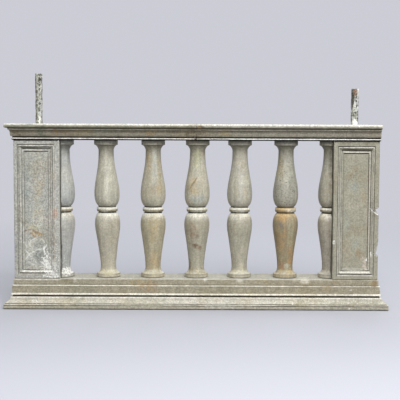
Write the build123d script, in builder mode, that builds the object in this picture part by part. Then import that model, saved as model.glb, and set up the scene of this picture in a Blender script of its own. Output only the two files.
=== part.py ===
from build123d import *
import os

# Stone balustrade, one bay with both end piers.
# Millimetres.  X runs along the balustrade, the front faces -Y, Z is up.
# The origin is the middle of the underside of the base.

# ---- main sizes -------------------------------------------------------------
clear_span = 1366.0
pier_width = 230.0
pier_depth = 188.0
pier_height = 698.0
lower_course_height = 58.5
upper_course_height = 89.5
rail_height = 80.0

half_span = clear_span / 2
pier_end = half_span + pier_width
pier_middle = half_span + pier_width / 2
pier_front = pier_depth / 2
base_height = lower_course_height + upper_course_height
rail_underside = base_height + pier_height

# ---- base, lower moulded course (reaches are measured from the pier faces) ---
plinth_reach = 49.0
plinth_height = 26.5
plinth_arris = 2.0
plinth_groove_level = 18.8
plinth_groove_width = 2.5
plinth_groove_depth = 1.5
hollow_foot_reach = 43.0
hollow_foot_level = 31.0
hollow_top_reach = 18.0
hollow_sag = 3.5

# ---- base, upper stepped course ----------------------------------------------
quirk_reach = 9.0
quirk_height = 9.0
band_reach = 17.0
band_height = 6.5
band_slope = 2.5
second_step_reach = 12.0
second_step_level = 58.5
first_step_reach = 5.0
step_arris = 3.0

# ---- rail --------------------------------------------------------------------
rail_foot_reach = 6.0
rail_foot_height = 3.5
rail_fillet_reach = 10.0
rail_fillet_height = 9.5
rail_quirk_reach = 5.0
rail_quirk_height = 5.5
cyma_foot_reach = 10.0
cyma_middle_reach = 14.2
cyma_middle_level = 32.0
cyma_bulge = 1.6
cyma_top_reach = 20.0
cyma_top_level = 47.5
cyma_hollow = 1.8
lip_fillet_reach = 24.0
lip_fillet_height = 8.0
lip_reach = 40.0
lip_underside_level = 57.5
lip_arris = 4.0
lip_top_radius = 8.0
rail_cut_overhang = 4.0
rail_joint_x = 0.0
joint_chip_width = 9.0
joint_chip_height = 8.0
joint_chip_depth = 5.0

# ---- sunk panels in the piers --------------------------------------------------
panel_side_margin = 23.0
left_panel_drift = -3.5
left_panel_top_margin = 25.0
left_panel_foot_margin = 23.0
right_panel_drift = 0.0
right_panel_top_margin = 29.0
right_panel_foot_margin = 20.0
panel_first_sink = 4.0
panel_fillet_width = 7.0
panel_slope_sink = 13.0
panel_slope_width = 13.0
panel_flat_width = 10.5
panel_sink = 18.0
pier_arris = 2.0

# ---- broken places on the outer front arris of the right pier -------------------
upper_chip_top = 512.0
upper_chip_middle = 498.0
upper_chip_foot = 474.0
upper_chip_width = 38.0
upper_chip_depth = 100.0
lower_chip_top = 324.0
lower_chip_foot = 271.0
lower_chip_width = 26.0
lower_chip_depth = 84.0
chip_start = 0.5
chip_clear = 1.0

# ---- turned balusters, radii and levels above the baluster's own foot -----------
foot_radius = 60.4
foot_height = 16.0
foot_arris = 1.5
flare_radius = 58.4
flare_turn_out = 6.5
flare_turn_rise = 11.0
lower_neck_radius = 39.4
lower_neck_level = 50.0
lower_shank_out = 7.6
lower_shank_rise = 85.5
lower_shoulder_in = 6.6
lower_shoulder_drop = 69.5
lower_bulb_radius = 64.2
lower_bulb_level = 277.0
lower_bulb_end_radius = 45.4
lower_bulb_end_level = 329.0
groove_radius = 44.5
ring_radius = 53.6
ring_bulge = 3.0
ring_foot_level = 333.0
ring_top_level = 356.0
joint_level = 358.0
upper_bulb_start_radius = 45.4
upper_bulb_start_level = 361.0
upper_bulb_radius = 64.2
upper_bulb_level = 424.0
upper_shoulder_in = 8.0
upper_shoulder_rise = 70.0
upper_shank_out = 2.0
upper_shank_drop = 52.0
upper_neck_radius = 38.8
upper_neck_drop = 54.0
abacus_turn_out = 5.0
abacus_turn_drop = 12.0
abacus_edge = 3.0
abacus_radius = 60.4
abacus_height = 27.0
abacus_arris = 1.5

# directions (outwards, upwards) in which the turned curves leave their ends
flare_direction = (-1, 0.2)
lower_bulb_end_direction = (-0.7, 0.7)
abacus_direction = (-1, -0.2)
upper_bulb_start_direction = (-0.72, -0.7)

# ---- where the balusters stand -----------------------------------------------------
bays_between_piers = 6
pitch = clear_span / bays_between_piers
first_drift = -1.0
second_drift = 5.0
third_drift = 0.0
fourth_drift = -8.0
fifth_drift = -2.0

# ---- iron rods: a plain bar in the stone, swollen by rust where it stands free -----
bar_radius = 16.0
bar_clearance = 0.3
bar_depth_in_pier = 150.0
left_rust_thickness = 2.7
left_rod_height = 250.0
right_rust_thickness = 4.2
right_rod_height = 181.0
rod_chamfer = 3.0

os.makedirs("parts", exist_ok=True)


def lower_course_flank(side, face):
    """One moulded flank of the lower course, from its bottom edge up to its top edge."""
    groove_top = plinth_groove_level + plinth_groove_width
    groove_middle = plinth_groove_level + plinth_groove_width / 2
    outer = side * (face + plinth_reach)
    Polyline(
        (outer, 0),
        (outer, plinth_groove_level),
        (outer - side * plinth_groove_depth, groove_middle),
        (outer, groove_top),
        (outer, plinth_height - plinth_arris),
        (outer - side * plinth_arris, plinth_height),
        (side * (face + hollow_foot_reach), plinth_height),
        (side * (face + hollow_foot_reach), hollow_foot_level),
    )
    hollow_middle_reach = (hollow_foot_reach + hollow_top_reach) / 2 - hollow_sag
    hollow_middle_level = (hollow_foot_level + lower_course_height) / 2 - hollow_sag
    ThreePointArc(
        (side * (face + hollow_foot_reach), hollow_foot_level),
        (side * (face + hollow_middle_reach), hollow_middle_level),
        (side * (face + hollow_top_reach), lower_course_height),
    )


def upper_course_flank(side, face):
    """One stepped flank of the upper course, from its bottom edge up to its top edge."""
    band_top = quirk_height + band_height
    Polyline(
        (side * (face + quirk_reach), 0),
        (side * (face + quirk_reach), quirk_height),
        (side * (face + band_reach), quirk_height),
        (side * (face + band_reach), band_top),
        (side * (face + second_step_reach), band_top + band_slope),
        (side * (face + second_step_reach), second_step_level - step_arris),
        (side * (face + second_step_reach - step_arris), second_step_level),
        (side * (face + first_step_reach), second_step_level),
        (side * (face + first_step_reach), upper_course_height - step_arris),
        (side * (face + first_step_reach - step_arris), upper_course_height),
    )


def rail_flank(side, face):
    """One moulded flank of the rail, from its bottom edge up to its top edge."""
    cyma_foot_level = rail_fillet_height + rail_quirk_height
    lower_middle_reach = (cyma_foot_reach + cyma_middle_reach) / 2 + cyma_bulge
    upper_middle_reach = (cyma_middle_reach + cyma_top_reach) / 2 - cyma_hollow
    Polyline(
        (side * (face + rail_foot_reach), 0),
        (side * (face + rail_foot_reach), rail_foot_height),
        (side * (face + rail_fillet_reach), rail_foot_height),
        (side * (face + rail_fillet_reach), rail_fillet_height),
        (side * (face + rail_quirk_reach), rail_fillet_height),
        (side * (face + rail_quirk_reach), cyma_foot_level),
        (side * (face + cyma_foot_reach), cyma_foot_level),
    )
    ThreePointArc(
        (side * (face + cyma_foot_reach), cyma_foot_level),
        (side * (face + lower_middle_reach), (cyma_foot_level + cyma_middle_level) / 2),
        (side * (face + cyma_middle_reach), cyma_middle_level),
    )
    ThreePointArc(
        (side * (face + cyma_middle_reach), cyma_middle_level),
        (side * (face + upper_middle_reach), (cyma_middle_level + cyma_top_level) / 2),
        (side * (face + cyma_top_reach), cyma_top_level),
    )
    Polyline(
        (side * (face + cyma_top_reach), cyma_top_level),
        (side * (face + lip_fillet_reach), cyma_top_level),
        (side * (face + lip_fillet_reach), cyma_top_level + lip_fillet_height),
        (side * (face + lip_reach - lip_arris), lip_underside_level),
        (side * (face + lip_reach), lip_underside_level + lip_arris),
        (side * (face + lip_reach), rail_height - lip_top_radius),
    )
    RadiusArc(
        (side * (face + lip_reach), rail_height - lip_top_radius),
        (side * (face + lip_reach - lip_top_radius), rail_height),
        -side * lip_top_radius,
    )


def close_section(flank, left_face, right_face, foot_reach, top_reach, height):
    """Close a section whose flanks stand off the given left and right pier faces."""
    flank(-1, left_face)
    flank(1, right_face)
    Line((-left_face - foot_reach, 0), (right_face + foot_reach, 0))
    Line((-left_face - top_reach, height), (right_face + top_reach, height))


def pier_panel(middle_x, direction, top_margin, foot_margin):
    """Cut one sunk panel into the front (-1) or back (1) face of a pier."""
    width = pier_width - 2 * panel_side_margin
    height = pier_height - top_margin - foot_margin
    middle_z = base_height + foot_margin + height / 2
    slope_start = 2 * panel_fillet_width
    slope_end = slope_start + 2 * panel_slope_width
    field_start = slope_end + 2 * panel_flat_width

    def level(depth):
        origin = (middle_x, direction * (pier_front - depth), middle_z)
        return Plane(origin=origin, x_dir=(1, 0, 0), z_dir=(0, direction, 0))

    with BuildSketch(level(0)) as opening:
        Rectangle(width, height)
    extrude(opening.sketch, amount=-panel_first_sink, mode=Mode.SUBTRACT)
    with BuildSketch(level(panel_first_sink)) as slope_mouth:
        Rectangle(width - slope_start, height - slope_start)
    with BuildSketch(level(panel_slope_sink)) as slope_foot:
        Rectangle(width - slope_end, height - slope_end)
    loft([slope_mouth.sketch.face(), slope_foot.sketch.face()], mode=Mode.SUBTRACT)
    with BuildSketch(level(panel_slope_sink)) as field:
        Rectangle(width - field_start, height - field_start)
    extrude(field.sketch, amount=panel_slope_sink - panel_sink, mode=Mode.SUBTRACT)


def corner_break(sizes):
    """Break the outer front arris away between levels; sizes are (level, width, depth)."""
    outlines = []
    for level, width, depth in sizes:
        with BuildSketch(Plane.XY.offset(level)) as outline:
            with BuildLine():
                Polyline(
                    (pier_end + chip_clear, -pier_front - chip_clear),
                    (pier_end - width, -pier_front - chip_clear),
                    (pier_end + chip_clear, -pier_front + depth),
                    close=True,
                )
            make_face()
        outlines.append(outline.sketch.face())
    loft(outlines, ruled=True, mode=Mode.SUBTRACT)


def lower_baluster_section():
    """Half section of the lower stone: foot, flare, lower bulb and ring."""
    ring_edge_radius = ring_radius - ring_bulge
    flare_start_level = foot_height + foot_arris
    Polyline(
        (0, 0),
        (foot_radius - foot_arris, 0),
        (foot_radius, foot_arris),
        (foot_radius, foot_height - foot_arris),
        (foot_radius - foot_arris, foot_height),
        (flare_radius, foot_height),
        (flare_radius, flare_start_level),
    )
    Spline(
        (flare_radius, flare_start_level),
        (lower_neck_radius + flare_turn_out, foot_height + flare_turn_rise),
        (lower_neck_radius, lower_neck_level),
        tangents=(flare_direction, (0, 1)),
    )
    Spline(
        (lower_neck_radius, lower_neck_level),
        (lower_neck_radius + lower_shank_out, lower_neck_level + lower_shank_rise),
        (lower_bulb_radius - lower_shoulder_in, lower_bulb_level - lower_shoulder_drop),
        (lower_bulb_radius, lower_bulb_level),
        (lower_bulb_end_radius, lower_bulb_end_level),
        tangents=((0, 1), lower_bulb_end_direction),
    )
    Polyline(
        (lower_bulb_end_radius, lower_bulb_end_level),
        (groove_radius, lower_bulb_end_level),
        (groove_radius, ring_foot_level),
        (ring_edge_radius, ring_foot_level),
    )
    ThreePointArc(
        (ring_edge_radius, ring_foot_level),
        (ring_radius, (ring_foot_level + ring_top_level) / 2),
        (ring_edge_radius, ring_top_level),
    )
    Polyline(
        (ring_edge_radius, ring_top_level),
        (groove_radius, ring_top_level),
        (groove_radius, joint_level),
        (0, joint_level),
        (0, 0),
    )


def upper_baluster_section():
    """Half section of the upper stone: upper bulb, neck and abacus."""
    abacus_underside = pier_height - abacus_height
    abacus_edge_radius = abacus_radius - abacus_edge
    upper_neck_level = pier_height - upper_neck_drop
    Polyline(
        (upper_bulb_start_radius, upper_bulb_start_level),
        (groove_radius, upper_bulb_start_level),
        (groove_radius, joint_level),
        (0, joint_level),
        (0, pier_height),
        (abacus_radius, pier_height),
        (abacus_radius, abacus_underside + abacus_arris),
        (abacus_radius - abacus_arris, abacus_underside),
        (abacus_edge_radius, abacus_underside),
    )
    Spline(
        (abacus_edge_radius, abacus_underside),
        (upper_neck_radius + abacus_turn_out, abacus_underside - abacus_turn_drop),
        (upper_neck_radius, upper_neck_level),
        tangents=(abacus_direction, (0, -1)),
    )
    Spline(
        (upper_neck_radius, upper_neck_level),
        (upper_neck_radius + upper_shank_out, upper_neck_level - upper_shank_drop),
        (upper_bulb_radius - upper_shoulder_in, upper_bulb_level + upper_shoulder_rise),
        (upper_bulb_radius, upper_bulb_level),
        (upper_bulb_start_radius, upper_bulb_start_level),
        tangents=((0, -1), upper_bulb_start_direction),
    )


# ---- base ------------------------------------------------------------------------
with BuildPart() as base_lower_course:
    with BuildSketch(Plane.YZ):
        with BuildLine():
            close_section(
                lower_course_flank,
                pier_front,
                pier_front,
                plinth_reach,
                hollow_top_reach,
                lower_course_height,
            )
        make_face()
    extrude(amount=pier_end + plinth_reach, both=True)
    with BuildSketch(Plane.XZ):
        with BuildLine():
            close_section(
                lower_course_flank,
                pier_end,
                pier_end,
                plinth_reach,
                hollow_top_reach,
                lower_course_height,
            )
        make_face()
    extrude(amount=pier_front + plinth_reach, both=True, mode=Mode.INTERSECT)
base_lower_course.part.label = "base_lower_course"
export_step(base_lower_course.part, "parts/base_lower_course.step")

upper_course_top_reach = first_step_reach - step_arris
with BuildPart() as base_upper_course:
    with BuildSketch(Plane.YZ.shift_origin((0, 0, lower_course_height))):
        with BuildLine():
            close_section(
                upper_course_flank,
                pier_front,
                pier_front,
                quirk_reach,
                upper_course_top_reach,
                upper_course_height,
            )
        make_face()
    extrude(amount=pier_end + band_reach, both=True)
    with BuildSketch(Plane.XZ.shift_origin((0, 0, lower_course_height))):
        with BuildLine():
            close_section(
                upper_course_flank,
                pier_end,
                pier_end,
                quirk_reach,
                upper_course_top_reach,
                upper_course_height,
            )
        make_face()
    extrude(amount=pier_front + band_reach, both=True, mode=Mode.INTERSECT)
base_upper_course.part.label = "base_upper_course"
export_step(base_upper_course.part, "parts/base_upper_course.step")


# ---- piers -------------------------------------------------------------------------
def pier_block(middle_x, panel_drift, top_margin, foot_margin):
    """Plain pier with softened upright arrises, both panels and the drilling for its bar."""
    with Locations((middle_x, 0, base_height)):
        Box(
            pier_width,
            pier_depth,
            pier_height,
            align=(Align.CENTER, Align.CENTER, Align.MIN),
        )
    chamfer(edges().filter_by(Axis.Z), pier_arris)
    pier_panel(middle_x + panel_drift, -1, top_margin, foot_margin)
    pier_panel(middle_x + panel_drift, 1, top_margin, foot_margin)
    with Locations((middle_x, 0, rail_underside)):
        Cylinder(
            bar_radius + bar_clearance,
            bar_depth_in_pier,
            align=(Align.CENTER, Align.CENTER, Align.MAX),
            mode=Mode.SUBTRACT,
        )


with BuildPart() as left_pier:
    pier_block(-pier_middle, left_panel_drift, left_panel_top_margin, left_panel_foot_margin)
left_pier.part.label = "left_pier"
export_step(left_pier.part, "parts/left_pier.step")

with BuildPart() as right_pier:
    pier_block(pier_middle, right_panel_drift, right_panel_top_margin, right_panel_foot_margin)
    corner_break(
        [
            (upper_chip_foot, chip_start, chip_start),
            (upper_chip_middle, upper_chip_width, upper_chip_depth),
            (upper_chip_top, chip_start, chip_start),
        ]
    )
    corner_break(
        [
            (lower_chip_foot, lower_chip_width, lower_chip_depth),
            (lower_chip_top, chip_start, chip_start),
        ]
    )
right_pier.part.label = "right_pier"
export_step(right_pier.part, "parts/right_pier.step")

# ---- balusters ------------------------------------------------------------------------
baluster_places = {
    "baluster_1": -2 * pitch + first_drift,
    "baluster_2": -pitch + second_drift,
    "baluster_3": third_drift,
    "baluster_4": pitch + fourth_drift,
    "baluster_5": 2 * pitch + fifth_drift,
    "left_half_baluster": -half_span,
    "right_half_baluster": half_span,
}
sections = {
    "lower": lower_baluster_section,
    "upper": upper_baluster_section,
}
for baluster_name, place_x in baluster_places.items():
    for stone_name, section in sections.items():
        with BuildPart() as baluster_stone:
            foot = Plane(origin=(place_x, 0, base_height), x_dir=(1, 0, 0), z_dir=(0, -1, 0))
            with BuildSketch(foot):
                with BuildLine():
                    section()
                make_face()
            revolve(axis=Axis((place_x, 0, 0), (0, 0, 1)))
            if baluster_name == "left_half_baluster":
                split(bisect_by=Plane.YZ.offset(place_x), keep=Keep.TOP)
            if baluster_name == "right_half_baluster":
                split(bisect_by=Plane.YZ.offset(place_x), keep=Keep.BOTTOM)
        label = baluster_name + "_" + stone_name
        baluster_stone.part.label = label
        export_step(baluster_stone.part, "parts/" + label + ".step")


# ---- rail ----------------------------------------------------------------------------------
def rail_bar(start_x, end_x):
    """A length of rail with both long sides moulded."""
    section_plane = Plane(origin=(start_x, 0, rail_underside), x_dir=(0, 1, 0), z_dir=(1, 0, 0))
    with BuildSketch(section_plane) as section:
        with BuildLine():
            close_section(
                rail_flank,
                pier_front,
                pier_front,
                rail_foot_reach,
                lip_reach - lip_top_radius,
                rail_height,
            )
        make_face()
    extrude(section.sketch, amount=end_x - start_x)


def rail_drilling(middle_x):
    """Hole right through the rail for an iron bar."""
    with Locations((middle_x, 0, rail_underside)):
        Cylinder(
            bar_radius + bar_clearance,
            rail_height,
            align=(Align.CENTER, Align.CENTER, Align.MIN),
            mode=Mode.SUBTRACT,
        )


with BuildPart() as left_rail_stone:
    rail_bar(-pier_end - lip_reach, rail_joint_x)
    with BuildSketch(Plane.XZ.shift_origin((0, 0, rail_underside))):
        with BuildLine():
            rail_flank(-1, pier_end)
            Polyline(
                (-pier_end - lip_reach + lip_top_radius, rail_height),
                (rail_joint_x, rail_height),
                (rail_joint_x, 0),
                (-pier_end - rail_foot_reach, 0),
            )
        make_face()
    extrude(amount=pier_front + lip_reach, both=True, mode=Mode.INTERSECT)
    rail_drilling(-pier_middle)
    with Locations((rail_joint_x, -pier_front - rail_fillet_reach, rail_underside)):
        Box(
            2 * joint_chip_width,
            2 * joint_chip_depth,
            2 * joint_chip_height,
            rotation=(0, 30, 0),
            mode=Mode.SUBTRACT,
        )
left_rail_stone.part.label = "left_rail_stone"
export_step(left_rail_stone.part, "parts/left_rail_stone.step")

with BuildPart() as right_rail_stone:
    rail_bar(rail_joint_x, pier_end + rail_cut_overhang)
    rail_drilling(pier_middle)
right_rail_stone.part.label = "right_rail_stone"
export_step(right_rail_stone.part, "parts/right_rail_stone.step")

# ---- iron rods --------------------------------------------------------------------------------
rods = {
    "left_rod": (-pier_middle, left_rust_thickness, left_rod_height),
    "right_rod": (pier_middle, right_rust_thickness, right_rod_height),
}
rail_top = rail_underside + rail_height
for rod_name, (rod_x, rust_thickness, rod_height) in rods.items():
    with BuildPart() as rod:
        with Locations((rod_x, 0, rail_top)):
            Cylinder(
                bar_radius + rust_thickness,
                rod_height,
                align=(Align.CENTER, Align.CENTER, Align.MIN),
            )
        chamfer(edges().group_by(Axis.Z)[-1], rod_chamfer)
        with Locations((rod_x, 0, rail_top)):
            Cylinder(
                bar_radius,
                rail_height + bar_depth_in_pier,
                align=(Align.CENTER, Align.CENTER, Align.MAX),
            )
    rod.part.label = rod_name
    export_step(rod.part, "parts/" + rod_name + ".step")
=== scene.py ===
import math

import bpy
import numpy as np
from mathutils import Matrix, Vector


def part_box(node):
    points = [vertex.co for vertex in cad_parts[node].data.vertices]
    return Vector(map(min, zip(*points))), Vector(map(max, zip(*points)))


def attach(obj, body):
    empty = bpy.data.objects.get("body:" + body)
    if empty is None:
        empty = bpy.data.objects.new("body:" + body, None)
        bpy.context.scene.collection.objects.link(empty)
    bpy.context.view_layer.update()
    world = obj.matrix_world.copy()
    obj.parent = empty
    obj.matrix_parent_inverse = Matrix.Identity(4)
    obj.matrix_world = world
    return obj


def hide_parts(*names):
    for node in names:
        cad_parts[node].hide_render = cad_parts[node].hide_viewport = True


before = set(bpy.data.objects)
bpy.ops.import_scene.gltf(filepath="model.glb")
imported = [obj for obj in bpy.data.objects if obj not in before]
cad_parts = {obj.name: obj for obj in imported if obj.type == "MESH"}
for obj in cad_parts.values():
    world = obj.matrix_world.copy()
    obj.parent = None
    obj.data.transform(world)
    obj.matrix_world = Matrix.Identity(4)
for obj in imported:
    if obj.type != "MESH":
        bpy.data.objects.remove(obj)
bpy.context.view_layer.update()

# Lengths in this script are millimetres, turned into metres as each mesh is made.
METRE = 1000


# ---- sizes and places, from the solids, to a tenth of a millimetre ----
def solid_box(node):
    """The lowest and the highest corner of a solid."""
    return np.array(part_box(node)) * METRE


(PIER_INNER_FACE, _, BASE_TOP), (PIER_END, PIER_FRONT, RAIL_FOOT) = solid_box("right_pier").round(1)
PIER_WIDTH = PIER_END - PIER_INNER_FACE
PIER_HEIGHT = RAIL_FOOT - BASE_TOP
LOWER_COURSE_TOP = solid_box("base_lower_course")[1, 2].round(1)
(RAIL_JOINT, _, _), (RAIL_CUT, _, RAIL_TOP) = solid_box("right_rail_stone").round(1)
RAIL_DRIP = 3.2  # how far the rail's underside hangs below its solid


# ---- repeatable noise ----
def lattice(cells, seed):
    """A repeatable number from 0 to 1 for each whole-numbered cell."""
    x, y, z = (cells[:, axis].astype(np.uint32) for axis in range(3))
    mixed = x * np.uint32(73856093) ^ y * np.uint32(19349663) ^ z * np.uint32(83492791)
    mixed ^= np.uint32(seed * 2654435761 % 2**32)
    for shift, factor in ((15, 2246822519), (13, 3266489917)):
        mixed ^= mixed >> np.uint32(shift)
        mixed *= np.uint32(factor)
    mixed ^= mixed >> np.uint32(16)
    return mixed / 2.0**32


def noise(points, size, seed):
    """Smooth noise from -1 to 1 whose features are about size across."""
    scaled = points / size
    cell = np.floor(scaled).astype(np.int64)
    part = scaled - cell
    part = part * part * (3 - 2 * part)
    total = np.zeros(len(points))
    for corner in range(8):
        step = np.array([corner & 1, corner >> 1 & 1, corner >> 2 & 1])
        weight = np.prod(np.where(step == 1, part, 1 - part), axis=1)
        total += weight * lattice(cell + step, seed)
    return 2 * total - 1


def fractal(points, size, seed, octaves=4):
    """Noise with finer and fainter layers on top of the first, still about -1 to 1."""
    total = np.zeros(len(points))
    for octave in range(octaves):
        total += noise(points, size / 2**octave, seed * 17 + octave) * 0.55**octave
    return total / 1.5


def ease(low, high, value):
    """0 below low, 1 above high, and a smooth rise between."""
    part = np.clip((value - low) / (high - low), 0, 1)
    return part * part * (3 - 2 * part)


def strip(values, low, high, edge=1):
    """1 between two values and 0 outside, with soft edges."""
    return ease(low - edge, low, values) * (1 - ease(high, high + edge, values))


# ---- outlines ----
STRAIGHT = math.cos(math.radians(12))
# The largest distance between points: on a flank, on a section, along and into the balustrade.
FLANK_STEP, SECTION_STEP, LENGTH_STEP, DEPTH_STEP = 3.4, 4.2, 6, 6.5


def soften(path, size):
    """Round each corner of a path a little, but leave those that hardly turn."""
    path = [np.array(point, float) for point in path]
    result = [path[0]]
    for before, corner, after in zip(path, path[1:], path[2:]):
        back, ahead = before - corner, after - corner
        back_length, ahead_length = np.linalg.norm(back), np.linalg.norm(ahead)
        if -back @ ahead > STRAIGHT * back_length * ahead_length:
            result.append(corner)
            continue
        start = corner + back * min(size / back_length, 0.45)
        end = corner + ahead * min(size / ahead_length, 0.45)
        result += [start, (start + 2 * corner + end) / 4, end]
    return result + [path[-1]]


def refine(path, step):
    """Add points so that no two neighbours are further apart than step."""
    result = [path[0]]
    for start, end in zip(path, path[1:]):
        parts = max(1, math.ceil(np.abs(end - start).max() / step))
        result += [start + (end - start) * part / parts for part in range(1, parts + 1)]
    return np.array(result)


def rising(path, size, step):
    """A path of (reach, level), softened and refined, with each level a little above the last."""
    path = refine(soften(path, size), step)
    for before, point in zip(path, path[1:]):
        point[1] = max(point[1], before[1] + 0.04)
    return path


def arc(start, middle, end, parts=6):
    """Points along a shallow curve through three points."""
    start, middle, end = np.array([start, middle, end], float)
    control = 2 * middle - (start + end) / 2
    part = np.linspace(0, 1, parts + 1)[:, None]
    back = 1 - part
    return list(back * back * start + 2 * part * back * control + part * part * end)


def curve(points, start_direction, end_direction, step=3.5):
    """Points along a smooth curve through the given ones, which leaves and arrives as told."""
    points = np.array(points, float)
    runs = np.diff(points, axis=0)
    lengths = np.linalg.norm(runs, axis=1)
    matrix, right = np.eye(len(points)), np.zeros_like(points)
    for end, direction in ((0, start_direction), (-1, end_direction)):
        right[end] = np.array(direction) / np.linalg.norm(direction)
    for i, (before, after) in enumerate(zip(lengths, lengths[1:])):
        matrix[i + 1, i : i + 3] = after, 2 * (before + after), before
        right[i + 1] = 3 * (after / before * runs[i] + before / after * runs[i + 1])
    slopes = np.linalg.solve(matrix, right)
    result = [points[:1]]
    for i, length in enumerate(lengths):
        part = np.linspace(0, 1, max(2, math.ceil(length / step)) + 1)[1:, None]
        square, cube = part**2, part**3
        result.append(
            (2 * cube - 3 * square + 1) * points[i]
            + (cube - 2 * square + part) * length * slopes[i]
            + (3 * square - 2 * cube) * points[i + 1]
            + (cube - square) * length * slopes[i + 1]
        )
    return list(np.concatenate(result))


def places(length, step):
    """Even places from 0 to 1 along a length."""
    return np.linspace(0, 1, max(2, round(length / step)) + 1)


# ---- meshes ----
def wrap(count, rings):
    """Faces between neighbouring rings of count points each."""
    here = np.arange(count)
    ahead = np.roll(here, -1)
    foot = np.column_stack([here, ahead, ahead + count, here + count])
    return [foot + ring * count for ring in range(rings - 1)]


def block(rings, columns, rows):
    """Points and faces of a block wrapped in rectangular rings.

    A ring is (low u, high u, low v, high v, w); columns and rows are the places, from 0 to 1,
    of its points along u and v.  The first and last rings are filled with grids.
    """
    nu, nv = len(columns) - 1, len(rows) - 1
    ring_u = np.concatenate([columns[:-1], np.ones(nv), columns[:0:-1], np.zeros(nv)])
    ring_v = np.concatenate([np.zeros(nu), rows[:-1], np.ones(nu), rows[:0:-1]])
    inner_u, inner_v = (grid.ravel() for grid in np.meshgrid(columns[1:-1], rows[1:-1], indexing="ij"))
    count, inner = len(ring_u), len(inner_u)

    def spots(ring, u, v):
        low_u, high_u, low_v, high_v, w = ring
        spot_u, spot_v = low_u + (high_u - low_u) * u, low_v + (high_v - low_v) * v
        return np.column_stack([spot_u, spot_v, np.full(len(u), w)])

    points = [spots(ring, ring_u, ring_v) for ring in rings]
    points += [spots(rings[end], inner_u, inner_v) for end in (0, -1)]
    faces = wrap(count, len(rings))
    for end, ring in enumerate((0, len(rings) - 1)):
        index = np.zeros((nu + 1, nv + 1), int)
        index[:, 0] = np.arange(nu + 1)
        index[nu] = nu + np.arange(nv + 1)
        index[::-1, nv] = nu + nv + np.arange(nu + 1)
        index[0, ::-1] = (2 * nu + nv + np.arange(nv + 1)) % count
        index += ring * count
        index[1:-1, 1:-1] = len(rings) * count + end * inner + np.arange(inner).reshape(nu - 1, nv - 1)
        grid = np.stack([index[:-1, :-1], index[1:, :-1], index[1:, 1:], index[:-1, 1:]], axis=-1)
        grid = grid.reshape(-1, 4)
        faces.append(grid if end else grid[:, ::-1])
    return np.concatenate(points), np.concatenate(faces)


def circle(count):
    """A round plan of radius 1."""
    angles = np.arange(count) * 2 * math.pi / count
    return np.column_stack([np.cos(angles), np.sin(angles)])


def turned(section, outline):
    """Points and faces of a turned stone: a section of (radius, level) carried round a plan.

    The outline is a closed plan of radius 1; the ends are closed with a fan.
    """
    count, rings = len(outline), len(section)
    points = [np.column_stack([outline * radius, np.full(count, level)]) for radius, level in section]
    faces = wrap(count, rings)
    here = np.arange(count)
    for end, ring in enumerate((0, rings - 1)):
        radius, level = section[ring]
        points.append(np.array([[*(outline.mean(axis=0) * radius), level]]))
        middle = np.full(count, rings * count + end)
        fan = np.column_stack([here + ring * count, np.roll(here, -1) + ring * count, middle])
        fan = fan if end else fan[:, ::-1]
        faces.append(np.column_stack([fan, np.full(count, -1)]))
    return np.concatenate(points), np.concatenate(faces)


def outward_faces(points, faces):
    """The faces, turned so that they look outwards, with the points' normals."""
    last = np.where(faces[:, 3] < 0, faces[:, 0], faces[:, 3])
    crossed = np.cross(points[faces[:, 2]] - points[faces[:, 0]], points[last] - points[faces[:, 1]])
    if np.sum(crossed * points[faces[:, 0]]) < 0:
        turned_round = faces[:, ::-1].copy()
        is_triangle = faces[:, 3] < 0
        turned_round[is_triangle] = faces[is_triangle][:, [2, 1, 0, 3]]
        faces, crossed = turned_round, -crossed
    used = faces >= 0
    shares, count = np.repeat(crossed, 4, axis=0)[used.ravel()], len(points)
    normals = np.column_stack([np.bincount(faces[used], share, count) for share in shares.T])
    length = np.linalg.norm(normals, axis=1, keepdims=True)
    return faces, normals / np.maximum(length, 1e-9)


def mean_at(index, values, count):
    """The mean of the values that have the same index, for each of count places."""
    return np.bincount(index, values, count) / np.maximum(np.bincount(index, minlength=count), 1)


def bend(points, faces, normals):
    """How sharply the surface turns at each point: above 0 on an arris, below 0 in a corner."""
    a, b = faces.ravel(), np.roll(faces, -1, axis=1).ravel()
    used = (a >= 0) & (b >= 0)
    a, b = a[used], b[used]
    along = points[a] - points[b]
    along /= np.maximum(np.linalg.norm(along, axis=1, keepdims=True), 1e-6)
    turns = [np.sum(normals[a] * along, axis=1), -np.sum(normals[b] * along, axis=1)]
    return mean_at(np.concatenate([a, b]), np.concatenate(turns), len(points))


def spread(value, faces):
    """Let a mask reach its neighbours, keeping the larger of old and new."""
    quads = faces[faces[:, 3] >= 0]
    around = np.repeat(value[quads].mean(axis=1), 4)
    return np.maximum(value, mean_at(quads.ravel(), around, len(value)))


# ---- marks on the stones ----
MASKS = ("wear", "grime_and_shade", "lime", "spray", "web", "pits")


def linear(colour):
    """A colour from 0 to 255 as a screen shows it, in the scene's linear values."""
    colour = np.array(colour, float) / 255
    return np.where(colour <= 0.04045, colour / 12.92, ((colour + 0.055) / 1.055) ** 2.4)


def on_front(points):
    """1 on the front half of the object and 0 on the back half."""
    return ease(-10, 12, -points[:, 1])


def patch(points, x, z, half_width, half_height, seed, turn=0, raggedness=0.45):
    """A ragged oval patch on the front, 1 inside and 0 outside."""
    across, up = points[:, 0] - x, points[:, 2] - z
    cos, sin = math.cos(math.radians(turn)), math.sin(math.radians(turn))
    along = (across * cos + up * sin) / half_width
    beside = (up * cos - across * sin) / half_height
    broken = fractal(points, max(min(half_width, half_height), 14), seed) * raggedness
    broken += noise(points, 9, seed + 5) * raggedness * 0.5
    inside = 1 - ease(0.55, 1.25, np.hypot(along, beside) + broken)
    return inside * on_front(points)


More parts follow.
